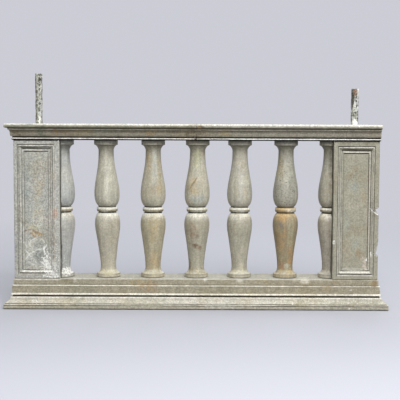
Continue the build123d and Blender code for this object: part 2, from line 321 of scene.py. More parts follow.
def trace(points, path, half_width, seed):
    """A wandering line on the front along (x, z) places, 1 on the line and 0 beside it."""
    wander = np.column_stack([noise(points, 26, seed), noise(points, 26, seed + 1)])
    place = points[:, [0, 2]] + 4 * wander
    path = np.array(path, float)
    nearest = np.full(len(place), np.inf)
    for start, end in zip(path, path[1:]):
        along = end - start
        part = np.clip((place - start) @ along / (along @ along), 0, 1)
        nearest = np.minimum(nearest, np.linalg.norm(place - start - part[:, None] * along, axis=1))
    return (1 - ease(0.35, 1, nearest / half_width)) * on_front(points)


class Look:
    """What a piece's surface shows, one value for each of its points.

    The ground is the stone's own colour with tints laid in, among them painted light and shade, and
    stained is the same with its stains soaked in.
    """

    def __init__(self, points, colour):
        self.points = points
        self.ground = np.tile(linear(colour), (len(points), 1))
        self.stained = self.ground.copy()
        self.masks = {name: np.zeros(len(points)) for name in MASKS}

    def soak(self, colour, mask, strength=1):
        mask = (np.clip(mask, 0, 1) * strength)[:, None]
        self.stained = self.stained * (1 - mask) + linear(colour) * mask

    def tint(self, colour, mask, strength=1):
        self.soak(colour, mask, strength)
        mask = (np.clip(mask, 0, 1) * strength)[:, None]
        self.ground = self.ground * (1 - mask) + linear(colour) * mask

    def bands(self, values, rows):
        """Tint bands, each (colour, lowest and highest value, soft edge, strength)."""
        for colour, low, high, edge, strength in rows:
            self.tint(colour, strip(values, low, high, edge), strength)

    def stains(self, rows):
        """Soak stains in, each (colour, x, z, half width, half height, strength, seed, turn)."""
        for colour, x, z, width, height, strength, seed, *turn in rows:
            self.soak(colour, patch(self.points, x, z, width, height, seed, *turn), strength)

    def deepen(self, name, mask):
        self.masks[name] = np.maximum(self.masks[name], mask)

    def marks(self, name, *rows):
        """Deepen a mask in patches, each (x, z, half width, half height, strength, seed, turn)."""
        for x, z, width, height, strength, seed, *turn in rows:
            self.deepen(name, patch(self.points, x, z, width, height, seed, *turn) * strength)

    def lines(self, name, rows):
        """Deepen a mask along lines, each (path, half width, strength, seed)."""
        for path, width, strength, seed in rows:
            self.deepen(name, trace(self.points, path, width, seed) * strength)


def numbered(rows, seed):
    """Rows of stains that have no seeds, with seeds that count up from the given one."""
    return [(*row[:6], seed + number, *row[6:]) for number, row in enumerate(rows)]


def make_piece(node, slot, points, faces, look, finish=None, drip=0, lean=0):
    """Make the mesh that stands for a solid, kept within the solid's box.

    Drip is how far it may hang under that box, and lean is how far each point then moves aside.
    """
    low, high = solid_box(node)
    low[2] -= drip
    points = np.clip(points, low, high)
    points[:, 0] += lean
    points /= METRE
    mesh = bpy.data.meshes.new("worn_" + node)
    mesh.from_pydata(points.tolist(), [], [row[row >= 0].tolist() for row in faces])
    mesh.polygons.foreach_set("use_smooth", np.ones(len(mesh.polygons), bool))
    for name, colours in (("ground_colour", look.ground), ("stained_colour", look.stained)):
        attribute = mesh.attributes.new(name, "FLOAT_COLOR", "POINT")
        rgba = np.column_stack([colours, np.ones(len(points))]).astype(np.float32)
        attribute.data.foreach_set("color", rgba.ravel())
    for name, values in look.masks.items():
        attribute = mesh.attributes.new(name, "FLOAT", "POINT")
        attribute.data.foreach_set("value", values.astype(np.float32))
    mesh.materials.append(materials[finish or slot])
    mesh.update()
    piece = bpy.data.objects.new("worn_" + node, mesh)
    bpy.context.collection.objects.link(piece)
    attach(piece, "root")
    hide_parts(node)


# Painted light for upward faces and painted shade for downward faces.
PAINTED_TOP_LIGHT = (212, 209, 197)
PAINTED_UNDERSIDE_SHADE = (104, 98, 80)
# A painted highlight, and painted shade mixed with dirt.
PAINTED_HIGHLIGHT = (242, 239, 228)
SHADE_AND_DIRT = (46, 42, 32)
UNDER, OVER = -9999, 9999  # the open ends of a band
WAVE_DEPTH, ROUGH_DEPTH, ARRIS_DEPTH, NICK_DEPTH = 0.45, 0.22, 0.5, 5  # of wear; the first three are means


def weather(points, faces, colour, seed, nicks=1, waves=1):
    """Wear a stone's surface inwards and start its look: worn arrises, nicks, dirt and painted shade in
    corners, painted light on upward faces and painted shade on downward ones.
    """
    faces, normals = outward_faces(points - points.mean(axis=0), faces)
    turn = bend(points, faces, normals)
    arris = spread(ease(0.04, 0.22, turn), faces)
    corner = spread(ease(0.04, 0.2, -turn), faces)
    depth = WAVE_DEPTH * waves * (1 + fractal(points, 150, seed))
    depth += ROUGH_DEPTH * waves * (1 + fractal(points, 16, seed + 1, 3))
    depth += ARRIS_DEPTH * arris * (1 + noise(points, 45, seed + 2))
    nick = ease(0.42, 0.85, fractal(points, 26, seed + 3, 3)) * arris
    depth += NICK_DEPTH * nicks * nick
    look = Look(points.copy(), colour)
    look.masks["wear"] = np.clip(arris * (0.75 + 0.6 * noise(points, 30, seed + 4)) + nick, 0, 1)
    # Dirt and painted shade in inner corners.
    look.masks["grime_and_shade"] = np.clip(corner * (0.9 + 0.4 * noise(points, 60, seed + 6)), 0, 1)
    uneven = 0.75 + 0.5 * noise(points, 40, seed + 7)
    # Painted light on upward faces and painted shade on downward faces.
    look.tint(PAINTED_TOP_LIGHT, ease(0.35, 0.95, normals[:, 2]) * uneven, 0.45)
    look.tint(PAINTED_UNDERSIDE_SHADE, ease(0.25, 0.9, -normals[:, 2]) * uneven, 0.5)
    return points - normals * depth[:, None], faces, look


def hollow(points, x, y, z, radius, depth, seed, direction=(0, 1, -0.6)):
    """Knock a shallow ragged hollow into a surface; returns the points and where it lies."""
    distance = np.linalg.norm(points - (x, y, z), axis=1) / radius
    inside = 1 - ease(0.45, 1, distance + 0.25 * noise(points, radius * 0.6, seed))
    push = np.array(direction) / np.linalg.norm(direction)
    return points + push * (inside * depth)[:, None], inside


# ---- the base ----
LOWER_FLANK = [
    (47.4, 0), (49, 2.2), (49, 18.4), (46.6, 20), (49, 21.6), (49, 24.5), (47, 26.5), (43, 26.5),
    (43, 31), *arc((43, 31), (27, 41.25), (18, 58.5))[1:],
]
UPPER_FLANK = [
    (9, 0), (9, 9), (17, 9), (17, 15.5), (12, 18), (12, 55.5), (9, 58.5), (5, 58.5),
    (5, 88.2), (3.7, 89.5),
]
# Bands by level: a paler hollow, painted shade in the grooves and corners, a painted highlight on the
# bead's top, the plinth's own tone, painted shadow along the foot, and a pale top with wear and painted
# highlight.
LOWER_BANDS = (
    ((212, 208, 194), 32, 41, 4, 0.7),
    ((96, 90, 73), 27, 31, 0.6, 0.75),
    ((240, 236, 222), 22.4, 26.2, 0.6, 0.75),
    ((92, 86, 70), 18.4, 21.6, 0.8, 0.8),
    ((178, 173, 155), UNDER, 17.4, 1, 1),
    ((20, 17, 12), UNDER, 5, 1.2, 0.95),
    ((200, 196, 181), 42, 53, 3, 0.35),
    ((248, 245, 234), 55.8, OVER, 1.2, 0.95),
)
LOWER_LIME = (
    (-803, 38, 28, 14, 0.8, 1),
    (285, 42, 16, 9, 0.8, 2),
    (-102, 13, 10, 6, 0.8, 3),
    (762, 17, 12, 14, 0.8, 4),
    (484, 32, 12, 7, 0.8, 5),
)
LOWER_STAINS = (
    ((184, 176, 150), -640, 34, 90, 26, 0.7),
    ((186, 182, 160), -250, 34, 120, 26, 0.7),
    ((204, 202, 192), 140, 34, 150, 26, 0.7),
    ((180, 171, 146), 560, 34, 90, 26, 0.7),
    ((160, 154, 134), 800, 34, 160, 26, 0.7),
)
# Bands by level: painted shade in the corner above the step, a painted highlight on the step's arris, a
# darker strip under it, and a painted highlight on the fillet.
UPPER_BANDS = (
    ((128, 121, 101), 59.2, 63, 1, 0.55),
    ((246, 243, 231), 55.8, 58.8, 0.6, 0.9),
    ((134, 128, 108), 50, 55, 1, 0.35),
    ((246, 242, 229), UNDER, 18, 1.4, 0.95),
)
UPPER_LIME = ((772, 95, 14, 8, 0.75, 51, 35), (828, 133, 17, 5, 0.75, 52, -20), (45, 146, 14, 5, 0.8, 53))
UPPER_CHIPS = (  # x, z, half width, half height of the pale mark, depth, seed
    (547, 149, 30, 14, 9, 31),
    (-608, 143, 12, 12, 6, 32),
    (47, 148, 13, 7, 5, 33),
    (220, 148, 24, 6, 4, 34),
)
UPPER_STAINS = (
    ((168, 140, 98), 652, 104, 36, 22, 0.75),
    ((150, 122, 80), 893, 130, 24, 18, 0.85),
    ((150, 126, 84), 700, 134, 60, 10, 0.5),
    ((170, 138, 96), -241, 114, 60, 34, 0.55),
    ((138, 128, 98), -654, 136, 50, 12, 0.7),
    ((168, 148, 106), -302, 133, 36, 13, 0.6),
    ((176, 170, 150), -820, 96, 60, 34, 0.5),
    ((172, 150, 112), 330, 136, 60, 12, 0.45),
    ((158, 153, 134), 40, 100, 150, 30, 0.5),
    ((150, 142, 120), 700, 110, 240, 40, 0.6),
)


def course(flank, foot):
    """A course of the base: its flank carried all round the plan."""
    rings = [
        (-PIER_END - reach, PIER_END + reach, -PIER_FRONT - reach, PIER_FRONT + reach, foot + level)
        for reach, level in rising(flank, 1.3, FLANK_STEP)
    ]
    return block(rings, places(2 * PIER_END, LENGTH_STEP), places(2 * PIER_FRONT, DEPTH_STEP))


def base_lower_course():
    points, faces = course(LOWER_FLANK, 0)
    points, faces, look = weather(points, faces, (184, 179, 165), 11)
    look.bands(look.points[:, 2], LOWER_BANDS)
    look.marks("lime", *LOWER_LIME)
    look.stains(numbered(LOWER_STAINS, 21))
    make_piece("base_lower_course", "base_stone", points, faces, look)


def base_upper_course():
    points, faces = course(UPPER_FLANK, LOWER_COURSE_TOP)
    points, faces, look = weather(points, faces, (166, 159, 139), 12, nicks=1.4)
    x, y, z = look.points.T
    level = z - LOWER_COURSE_TOP
    look.tint((182, 180, 168), ease(88.4, 89.2, level), 0.85)
    # A painted highlight along the top's front arris.
    look.tint((222, 219, 207), ease(88.2, 89, level) * ease(60, 84, -y), 0.6)
    look.bands(level, UPPER_BANDS)
    # A painted highlight just under the top arris, except at the left end.
    look.tint((228, 224, 210), strip(level, 83, 88) * (1 - ease(-690, -670, x)), 0.75)
    look.masks["grime_and_shade"] *= 1 - strip(level, 9.6, 18, 0.6)
    # Painted shade in the recess under the fillet.
    quirk = 1 - ease(7.5, 9, level)
    look.tint((50, 45, 34), quirk)
    look.deepen("grime_and_shade", quirk)
    for x, z, width, height, depth, seed in UPPER_CHIPS:
        points, inside = hollow(points, x, -99, z, width, depth, seed)
        look.deepen("wear", inside)
        look.marks("wear", (x, z - 4, width * 0.8, height, 0.8, seed))
    look.stains(numbered(UPPER_STAINS, 41))
    look.marks("lime", *UPPER_LIME)
    make_piece("base_upper_course", "base_stone", points, faces, look)


# ---- the piers ----
# A panel's margins at the left, right, top and foot, and how wide its side mouldings are.
LEFT_PANEL = (19.5, 26.5, 25, 19.5, 0.95)
RIGHT_PANEL = (23, 23, 29, 20, 0.86)
PANEL_STEPS = [  # distance in from the panel's mouth, depth behind the pier's face
    (38, 18), (33, 18), (33, 13), (23, 13), (23, 14.2), (21.6, 14.2), (21.6, 12.4),
    (9.2, 4.6), (9.2, 5.6), (7.8, 5.6), (7.8, 4), (0, 4), (0, 0),
]
# A break in the outer arris: at each level, how far it reaches along the front and into the depth.
UPPER_BREAK = [(474, 0.5, 0.5), (498, 38, 100), (512, 0.5, 0.5)]
LOWER_BREAK = [(271, 22, 84), (294, 13, 50), (348, 0.5, 0.5)]
BREAK_CLEAR = 1
# Painted shade, partly dirt, and painted highlights along the panel's steps.
PANEL_LINES = (  # colour, distance in, strength at the head, the sill, and each side of each pier
    (SHADE_AND_DIRT, -2.6, 2, 1.4, 0, 0.25, 0.1, 1, 0.3),
    (PAINTED_HIGHLIGHT, -1, 3.8, 0, 0.9, 0, 1.15, 0, 0),
    (PAINTED_HIGHLIGHT, 2.6, 7.4, 1.2, 0, 0, 0, 0.6, 0),
    (SHADE_AND_DIRT, 4.4, 9.8, 0, 1.4, 0.1, 0, 0, 0),
    (PAINTED_HIGHLIGHT, 7, 12.6, 0, 0, 0.6, 0, 0.5, 0.75),
    (PAINTED_HIGHLIGHT, 10.2, 21.4, 0, 0.95, 0, 0, 0, 0),
    (SHADE_AND_DIRT, 12, 21.6, 0.75, 0, 0, 0, 0, 0),
    (PAINTED_HIGHLIGHT, 14.5, 23.4, 0, 0, 0, 1, 0.5, 0.25),
    (SHADE_AND_DIRT, 23.2, 27.4, 0, 0.7, 0, 0, 0, 0),
    (PAINTED_HIGHLIGHT, 23.6, 31, 0.55, 0, 0.2, 0, 0, 0.4),
    (SHADE_AND_DIRT, 27, 31, 0, 0, 0, 0.35, 0, 0),
    (PAINTED_HIGHLIGHT, 28.4, 36, 0, 0.6, 0, 0.2, 0, 0),
    (SHADE_AND_DIRT, 32, 37, 1.2, 0, 0.05, 0.1, 0.2, 0.4),
)
LEFT_STAINS = (
    ((184, 178, 160), -800, 720, 26, 70, 0.5, 61),
    ((186, 176, 152), -793, 600, 26, 80, 0.7, 62),
    ((172, 158, 136), -770, 640, 14, 60, 0.5, 63),
    ((190, 182, 158), -790, 470, 34, 50, 0.7, 64, 10),
    ((194, 188, 152), -822, 408, 42, 20, 0.7, 65),
    ((194, 170, 134), -812, 374, 46, 14, 0.9, 66, -14),
    ((200, 180, 158), -712, 640, 9, 60, 0.5, 68),
    ((180, 156, 122), -716, 330, 13, 46, 0.45, 69),
    ((198, 186, 178), -745, 440, 20, 40, 0.5, 70),
    ((150, 160, 158), -852, 640, 22, 100, 0.55, 71),
    ((160, 166, 160), -845, 470, 28, 60, 0.5, 72),
    ((150, 156, 150), -790, 270, 22, 30, 0.6, 73),
    ((168, 148, 130), -812, 202, 46, 4, 0.5, 74),
    ((200, 197, 190), -704, 560, 14, 260, 0.6, 77),
    ((196, 196, 190), -884, 520, 20, 60, 0.6, 78),
    ((204, 202, 190), -820, 320, 50, 40, 0.5, 75),
    # A painted highlight on the panel sill's upward slope.
    ((206, 204, 196), -800, 186, 70, 9, 0.6, 76),
    ((172, 142, 106), -713, 286, 6, 44, 0.6, 79),
    ((168, 148, 122), -722, 218, 5, 30, 0.5, 80),
)
LEFT_TRACES = (
    ((132, 106, 80), [(-862, 384), (-834, 392), (-812, 382), (-768, 368)], 4.2, 0.6, 68),
    ((136, 108, 82), [(-834, 374), (-800, 352), (-770, 346)], 4.2, 0.55, 69),
    ((122, 120, 112), [(-760, 340), (-756, 300), (-762, 240)], 6, 0.3, 70),
)
LEFT_WEB = (
    ([(-764, 330), (-776, 346), (-802, 352), (-830, 342), (-838, 318), (-828, 300)], 4.6, 0.8, 73),
    ([(-866, 294), (-840, 268), (-816, 242), (-808, 228)], 5, 1, 74),
    ([(-860, 240), (-842, 266), (-804, 290), (-768, 296), (-756, 312)], 5, 1, 75),
    ([(-846, 232), (-816, 216), (-800, 194)], 4.4, 0.7, 76),
    ([(-884, 352), (-862, 326), (-852, 300)], 4.4, 0.55, 77),
    ([(-880, 424), (-868, 400), (-884, 376)], 4.4, 0.6, 78),
    ([(-830, 448), (-804, 434), (-764, 452), (-742, 440)], 4.4, 0.5, 79),
    ([(-814, 420), (-794, 408), (-770, 416)], 4.6, 0.6, 80),
    ([(-760, 300), (-786, 282), (-800, 258)], 4.2, 0.5, 102),
    ([(-872, 270), (-858, 256), (-866, 226)], 4.2, 0.5, 103),
    ([(-836, 214), (-800, 204), (-772, 210)], 4.2, 0.6, 104),
)
LEFT_LIME = (
    ([(-766, 304), (-760, 268), (-748, 232), (-732, 196), (-722, 174)], 9, 1.05, 81),
    ([(-774, 250), (-756, 226), (-736, 200)], 12, 1.1, 82),
    ([(-752, 290), (-740, 262), (-728, 238), (-712, 210), (-700, 182)], 6, 1.05, 83),
    ([(-786, 232), (-760, 212), (-742, 196)], 7, 1.05, 84),
    ([(-758, 186), (-735, 178), (-704, 166)], 13, 1.05, 85),
    ([(-764, 160), (-724, 155), (-692, 160)], 9, 1, 86),
    ([(-726, 358), (-712, 334), (-698, 316)], 5, 0.95, 87),
    ([(-732, 332), (-718, 308), (-704, 288)], 5, 0.95, 88),
    ([(-734, 306), (-722, 280), (-706, 256)], 4.6, 1, 89),
    ([(-716, 290), (-704, 262), (-690, 240)], 4.6, 1, 105),
    ([(-884, 184), (-820, 182), (-770, 185)], 6, 1, 90),
)
LEFT_SPRAY = (
    (-735, 215, 60, 86, 1.2, 94),
    (-700, 250, 18, 110, 0.9, 95),
    (-800, 250, 64, 80, 0.8, 96),
    (-775, 330, 70, 70, 0.65, 97),
    (-700, 780, 14, 60, 0.9, 98),
    (-696, 500, 12, 240, 0.7, 99),
    (-800, 500, 110, 380, 0.5, 100),
    (-688, 838, 6, 8, 1.6, 106),
    (-795, 430, 60, 36, 0.9, 101),
)
RIGHT_STAINS = (
    ((146, 126, 96), 765, 668, 22, 16, 0.6, 20),
    ((140, 124, 100), 792, 702, 14, 14, 0.5),
    ((162, 170, 164), 789, 612, 26, 26, 0.7),
    ((158, 164, 154), 756, 440, 22, 50, 0.6),
    ((162, 168, 156), 796, 322, 20, 50, 0.6),
    ((172, 154, 126), 838, 560, 14, 50, 0.6),
    ((184, 176, 160), 770, 520, 50, 30, 0.5),
    ((152, 132, 100), 826, 270, 18, 36, 0.65, 30),
    ((208, 196, 184), 844, 230, 15, 34, 0.8, 20),
    ((172, 156, 134), 760, 300, 30, 60, 0.4),
    ((148, 140, 116), 895, 500, 10, 120, 0.35),
    ((178, 168, 150), 862, 500, 8, 190, 0.5),
    # A painted highlight on the panel sill's upward slope.
    ((224, 221, 208), 798, 186, 82, 8, 0.85),
    # Painted shadow under the rail across the pier's top.
    ((134, 129, 110), 798, 833, 112, 14, 0.85),
    ((148, 144, 126), 902, 650, 12, 190, 0.5),
)
RIGHT_LIME = (
    (690, 339, 9, 12, 1.1, 121, -25),
    (888, 277, 12, 12, 0.9, 123, -25),
    (884, 498, 18, 6, 0.85, 124, -25),
    (838, 222, 10, 22, 0.5, 125, -25),
)
RIGHT_LIME_LINES = (
    ([(867, 506), (884, 491), (907, 476)], 5.6, 1.3, 126),
    ([(877, 284), (879, 266)], 5.6, 1.3, 127),
    ([(858, 256), (855, 240)], 6, 1.2, 128),
)


def pier_rings(low_x, panel):
    """Rings from the sunk front field, over the front, round the sides and into the back field."""
    arris = 2
    high_x = low_x + PIER_WIDTH
    left, right, top, foot, side_scale = panel
    front = [
        (
            low_x + left + inset * side_scale,
            high_x - right - inset * side_scale,
            BASE_TOP + foot + inset,
            RAIL_FOOT - top - inset,
            depth - PIER_FRONT,
        )
        for inset, depth in PANEL_STEPS
    ]
    front.append((low_x + arris, high_x - arris, BASE_TOP + 1, RAIL_FOOT - 1, -PIER_FRONT))
    front.append((low_x, high_x, BASE_TOP, RAIL_FOOT, arris - PIER_FRONT))
    front = refine(soften(front, 0.7), SECTION_STEP)
    to_back = (1, 1, 1, 1, -1)
    sides = refine([front[-1], front[-1] * to_back], DEPTH_STEP)[1:-1]
    return np.concatenate([front, sides, front[::-1] * to_back])


def break_corner(points, levels, seed):
    """Cut the outer front arris away as the solid has it; returns the points and which of them were cut.
    """
    z = points[:, 2]
    heights, widths, depths = np.array(levels).T
    width, depth = (np.interp(z, heights, sizes, 0, 0) + BREAK_CLEAR for sizes in (widths, depths))
    across = PIER_END + BREAK_CLEAR - points[:, 0]
    back = points[:, 1] + PIER_FRONT + BREAK_CLEAR
    rough = 1 + 0.1 * fractal(points, 22, seed, 3)
    slope = np.column_stack([rough / width, rough / depth])
    short = 1 - across * slope[:, 0] - back * slope[:, 1]
    cut = (short > 0) & (z > heights[0]) & (z < heights[-1])
    step = np.where(cut, short / np.sum(slope**2, axis=1), 0)
    points = points.copy()
    points[:, :2] += step[:, None] * slope * (-1, 1)
    return points, cut


def pier_shape(low_x, panel, step, levels=()):
    """A pier's points and faces, with rows of points placed at the given levels as well."""
    rows = places(PIER_HEIGHT, step)
    extra = (np.array(levels) - BASE_TOP) / PIER_HEIGHT
    clear = np.all(np.abs(rows[:, None] - extra) > 0.0025, axis=1)
    rows = np.sort(np.concatenate([rows[clear], extra]))
    points, faces = block(pier_rings(low_x, panel), places(PIER_WIDTH, step), rows)
    return points[:, [0, 2, 1]], faces


def panel_lines(look, low_x, panel):
    """Painted shade, partly dirt, and painted highlights along the panel's steps, painted shadow under the
    rail's foot, and painted shade at the pier's foot and on its inner side.
    """
    x, y, z = look.points.T
    left, right, top, foot, side_scale = panel
    distances = np.column_stack(
        [
            RAIL_FOOT - top - z,
            z - BASE_TOP - foot,
            (x - low_x - left) / side_scale,
            (low_x + PIER_WIDTH - right - x) / side_scale,
        ]
    )
    inset, nearest = distances.min(axis=1), distances.argmin(axis=1)
    uneven = 0.85 + 0.4 * noise(look.points, 70, int(low_x) % 97)
    sides = slice(2, 4) if low_x < 0 else slice(4, 6)
    for colour, low, high, *strengths in PANEL_LINES:
        strength = np.array(strengths[:2] + strengths[sides])[nearest]
        look.tint(colour, strip(inset, low, high, 0.7) * strength * uneven)
    # Painted shadow under the rail's foot.
    look.tint((12, 9, 6), ease(RAIL_FOOT - 7, RAIL_FOOT - 5, z), 0.96)
    # Painted shade along the pier's foot at the joint with the base.
    look.tint((84, 78, 62), (1 - ease(BASE_TOP + 1.5, BASE_TOP + 4, z)) * uneven, 0.8)
    # Painted shade on the pier's inner side face.
    inner_side = 1 - ease(1, 3, np.abs(np.abs(x) - PIER_END + PIER_WIDTH))
    look.tint(SHADE_AND_DIRT, inner_side * strip(np.abs(y), 40, 84, 6), 0.55)


def left_pier():
    points, faces = pier_shape(-PIER_END, LEFT_PANEL, 4.2)
    points, faces, look = weather(points, faces, (182, 182, 174), 13)
    panel_lines(look, -PIER_END, LEFT_PANEL)
    look.stains(LEFT_STAINS)
    look.tint((212, 164, 134), patch(look.points, -708, 476, 15, 27, 67), 0.55)
    for colour, path, width, strength, seed in LEFT_TRACES:
        look.tint(colour, trace(look.points, path, width, seed), strength)
    look.tint((150, 154, 152), patch(look.points, -792, 316, 30, 22, 71, raggedness=0.2), 0.5)
    look.tint((130, 132, 128), patch(look.points, -790, 262, 24, 36, 72, raggedness=0.3), 0.5)
    look.lines("web", LEFT_WEB)
    look.lines("lime", LEFT_LIME)
    look.marks("spray", *LEFT_SPRAY)
    make_piece("left_pier", "pier_stone", points, faces, look, "limed_stone")


def right_pier():
    levels = [level for level, _, _ in LOWER_BREAK[:1] + UPPER_BREAK]
    edges = [level + aside for level in levels for aside in (-0.4, 0.4)]
    points, faces = pier_shape(PIER_INNER_FACE, RIGHT_PANEL, 5.6, edges)
    points, faces, look = weather(points, faces, (163, 159, 142), 14)
    panel_lines(look, PIER_INNER_FACE, RIGHT_PANEL)
    for levels, seed in ((UPPER_BREAK, 3), (LOWER_BREAK, 4)):
        points, cut = break_corner(points, levels, seed)
        look.tint((214, 210, 198), cut, 0.9)
    look.stains(numbered(RIGHT_STAINS, 101))
    look.marks("lime", *RIGHT_LIME)
    look.lines("lime", RIGHT_LIME_LINES)
    look.marks("pits", (775, 668, 40, 46, 0.8, 131))
    make_piece("right_pier", "pier_stone", points, faces, look)


# ---- the balusters ----
STONES_MEET = 358  # how high above the base the upper stone stands on the lower one


def lower_section():
    path = [(58.9, 0), (60.4, 1.5), (60.4, 4), (60.4, 17.2), (59.2, 18.6), (58.4, 18.6)]
    path += curve([(58.4, 19.6), (46.4, 27), (39.4, 50)], (-1, 0.2), (0, 1), 3)
    path += curve(
        [(39.4, 50), (47, 135.5), (57.6, 207.5), (64.2, 277), (45.4, 329)], (0, 1), (-0.7, 0.7)
    )[1:]
    path += [(44, 329.3), (44, 332.7), (50.6, 333)]
    path += arc((50.6, 333), (53.6, 344.5), (50.6, 356), 12)[1:]
    return path + [(44.5, 356.3), (44.5, STONES_MEET)]


def upper_section():
    path = [(44.5, STONES_MEET), (44, 361)]
    path += curve(
        [(45.4, 361), (64.2, 424), (56.2, 494), (40.8, 592), (38.8, 644)], (0.72, 0.7), (0, 1)
    )
    path += curve([(38.8, 644), (43.8, 659), (57.4, 671)], (0, 1), (1, 0.2))[1:]
    return path + [(58.9, 671), (60.4, 672.5), (60.4, 698)]


SECTIONS = {"lower": lower_section, "upper": upper_section}
WHOLE_PLAN = 84
BALUSTERS = {  # middle, which side is kept of a half, colours of the lower and upper stones
    "left_half_baluster": (-683, 1, (183, 183, 179), (184, 185, 180)),
    "baluster_1": (-456.33, 0, (187, 181, 163), (189, 185, 168)),
    "baluster_2": (-222.67, 0, (177, 168, 143), (185, 180, 161)),
    "baluster_3": (0, 0, (172, 167, 148), (184, 179, 160)),
    "baluster_4": (219.67, 0, (174, 169, 151), (181, 177, 161)),
    "baluster_5": (453.33, 0, (152, 140, 112), (167, 164, 149)),
    "right_half_baluster": (683, -1, (167, 160, 146), (166, 162, 146)),
}
LEANS = {  # how far the foot and the head of a baluster stand to the right of its place
    "baluster_1": (8, -4.4),
    "baluster_2": (1.6, 2),
    "baluster_3": (0, 5.2),
}
BALUSTER_STAINS = (  # each lies on the stone that it belongs to
    ((206, 203, 188), -460, 495, 34, 22, 0.8),
    ((166, 158, 138), -436, 380, 14, 90, 0.5),
    ((204, 196, 160), -456, 176, 58, 16, 0.7),
    ((212, 207, 192), -452, 640, 12, 110, 0.6),
    ((168, 162, 144), -478, 640, 12, 100, 0.5),
    ((182, 164, 124), -222, 410, 34, 80, 0.7),
    ((188, 164, 122), -214, 230, 30, 60, 0.55),
    ((158, 156, 134), -246, 360, 16, 100, 0.5),
    ((204, 200, 182), -222, 492, 30, 14, 0.6),
    ((206, 196, 164), -222, 178, 56, 14, 0.5),
    ((189, 192, 186), -213, 700, 11, 120, 0.8),
    ((176, 152, 110), -243, 720, 12, 70, 0.7),
    ((176, 152, 112), -188, 690, 10, 90, 0.55),
    ((182, 160, 122), -205, 590, 30, 30, 0.5),
    ((112, 88, 64), -10, 312, 30, 12, 0.85, -14),
    ((128, 102, 78), 12, 302, 16, 11, 0.7),
    ((148, 124, 100), -20, 380, 30, 46, 0.7),
    ((110, 84, 60), -36, 205, 9, 30, 0.7),
    ((196, 192, 176), 10, 492, 36, 22, 0.7),
    ((158, 146, 112), 10, 176, 60, 20, 0.8),
    ((188, 186, 144), -2, 750, 20, 50, 0.7),
    ((204, 186, 150), -20, 610, 22, 60, 0.7),
    ((166, 144, 110), -34, 600, 14, 30, 0.5),
    ((168, 174, 170), 6, 550, 40, 26, 0.7),
    ((214, 208, 190), 10, 655, 20, 16, 0.6),
    ((198, 197, 184), 218, 492, 40, 24, 0.75),
    ((150, 138, 112), 205, 470, 18, 30, 0.4),
    ((204, 196, 172), 228, 205, 22, 20, 0.6),
    ((202, 194, 160), 222, 178, 56, 14, 0.5),
    ((184, 164, 130), 247, 580, 8, 40, 0.4, 8),
    ((196, 198, 188), 222, 640, 14, 110, 0.5),
    ((168, 150, 116), 226, 720, 24, 40, 0.45),
    ((170, 162, 138), 200, 600, 16, 60, 0.5),
    ((190, 154, 102), 440, 470, 34, 46, 0.75),
    ((178, 144, 98), 430, 360, 26, 80, 0.6),
    ((122, 116, 110), 428, 412, 9, 34, 0.85, 12),
    ((166, 161, 134), 476, 400, 18, 100, 0.75),
    ((178, 134, 84), 478, 250, 14, 70, 0.6),
    ((164, 112, 80), 436, 212, 16, 24, 0.6),
    ((206, 204, 190), 486, 493, 26, 10, 0.9),
    ((202, 200, 176), 462, 205, 20, 16, 0.7),
    ((178, 160, 120), 453, 172, 60, 18, 0.8),
    ((222, 210, 188), 462, 494, 20, 8, 0.8),
    ((172, 154, 114), 424, 700, 24, 60, 0.6),
    ((148, 150, 136), 480, 640, 26, 120, 0.6),
    ((202, 198, 180), 455, 690, 20, 60, 0.5),
    ((200, 200, 190), -655, 450, 24, 60, 0.5),
    ((180, 158, 120), -640, 486, 16, 10, 0.5),
    ((160, 164, 162), -640, 540, 30, 60, 0.6),
    ((124, 112, 92), 672, 380, 12, 150, 0.5),
    ((184, 178, 160), 640, 420, 18, 60, 0.5),
    ((118, 110, 88), 676, 640, 12, 200, 0.6),
    ((176, 166, 146), 650, 560, 22, 60, 0.5),
)
PALE, PALE_OCHRE = (240, 236, 221), (214, 192, 148)


def plan(side):
    """A round plan of radius 1, or the half of it on one side of the middle."""
    if side == 0:
        return circle(WHOLE_PLAN)
    angles = np.linspace(-math.pi / 2, math.pi / 2, WHOLE_PLAN // 2 + 1)
    flat = np.linspace(1, -1, 13)[1:-1]
    curved = np.column_stack([side * np.cos(angles), np.sin(angles)])
    return np.concatenate([curved, np.column_stack([np.zeros(len(flat)), flat])])


# Painted highlights on the bulb's shoulder, the ring's top and the foot's flare; painted shade in the
# grooves by the ring, on the ring's underside and along the very foot; a darker band at the top of the
# foot and a paler band below it.
def lower_tints(look, level, pale, uneven):
    look.tint(pale, ease(283, 318, level) * uneven, 0.65)
    look.bands(
        level,
        (
            (pale, 314, 326, 3, 0.6),
            ((30, 25, 16), 328.2, 335.4, 0.7, 0.94),
            ((146, 137, 113), 335.8, 344.8, 1, 0.92),
            (pale, 346.4, 355.8, 1.5, 0.95),
            ((48, 40, 26), 356.6, OVER, 0.6, 0.9),
        ),
    )
    look.tint((214, 210, 194), strip(level, 20, 36, 4) * uneven, 0.6)
    look.tint((206, 200, 180), strip(level, 4, 12, 2), 0.35)
    look.tint((116, 109, 90), strip(level, 14, 18.6, 0.8) * uneven, 0.62)
    look.tint((40, 35, 26), 1 - ease(1.4, 3, level), 0.9)


# Painted light on the abacus's lower face, painted shadow on its top under the rail, and painted shade
# under its edge and in the groove at the joint.
UPPER_BULB_BANDS = (
    ((214, 209, 192), 674, 682, 4, 0.6),
    ((24, 20, 13), 693, OVER, 3.5, 0.93),
    ((60, 55, 42), 669.5, 672.6, 0.8, 0.75),
    ((44, 37, 25), UNDER, 360.4, 2.6, 0.9),
)


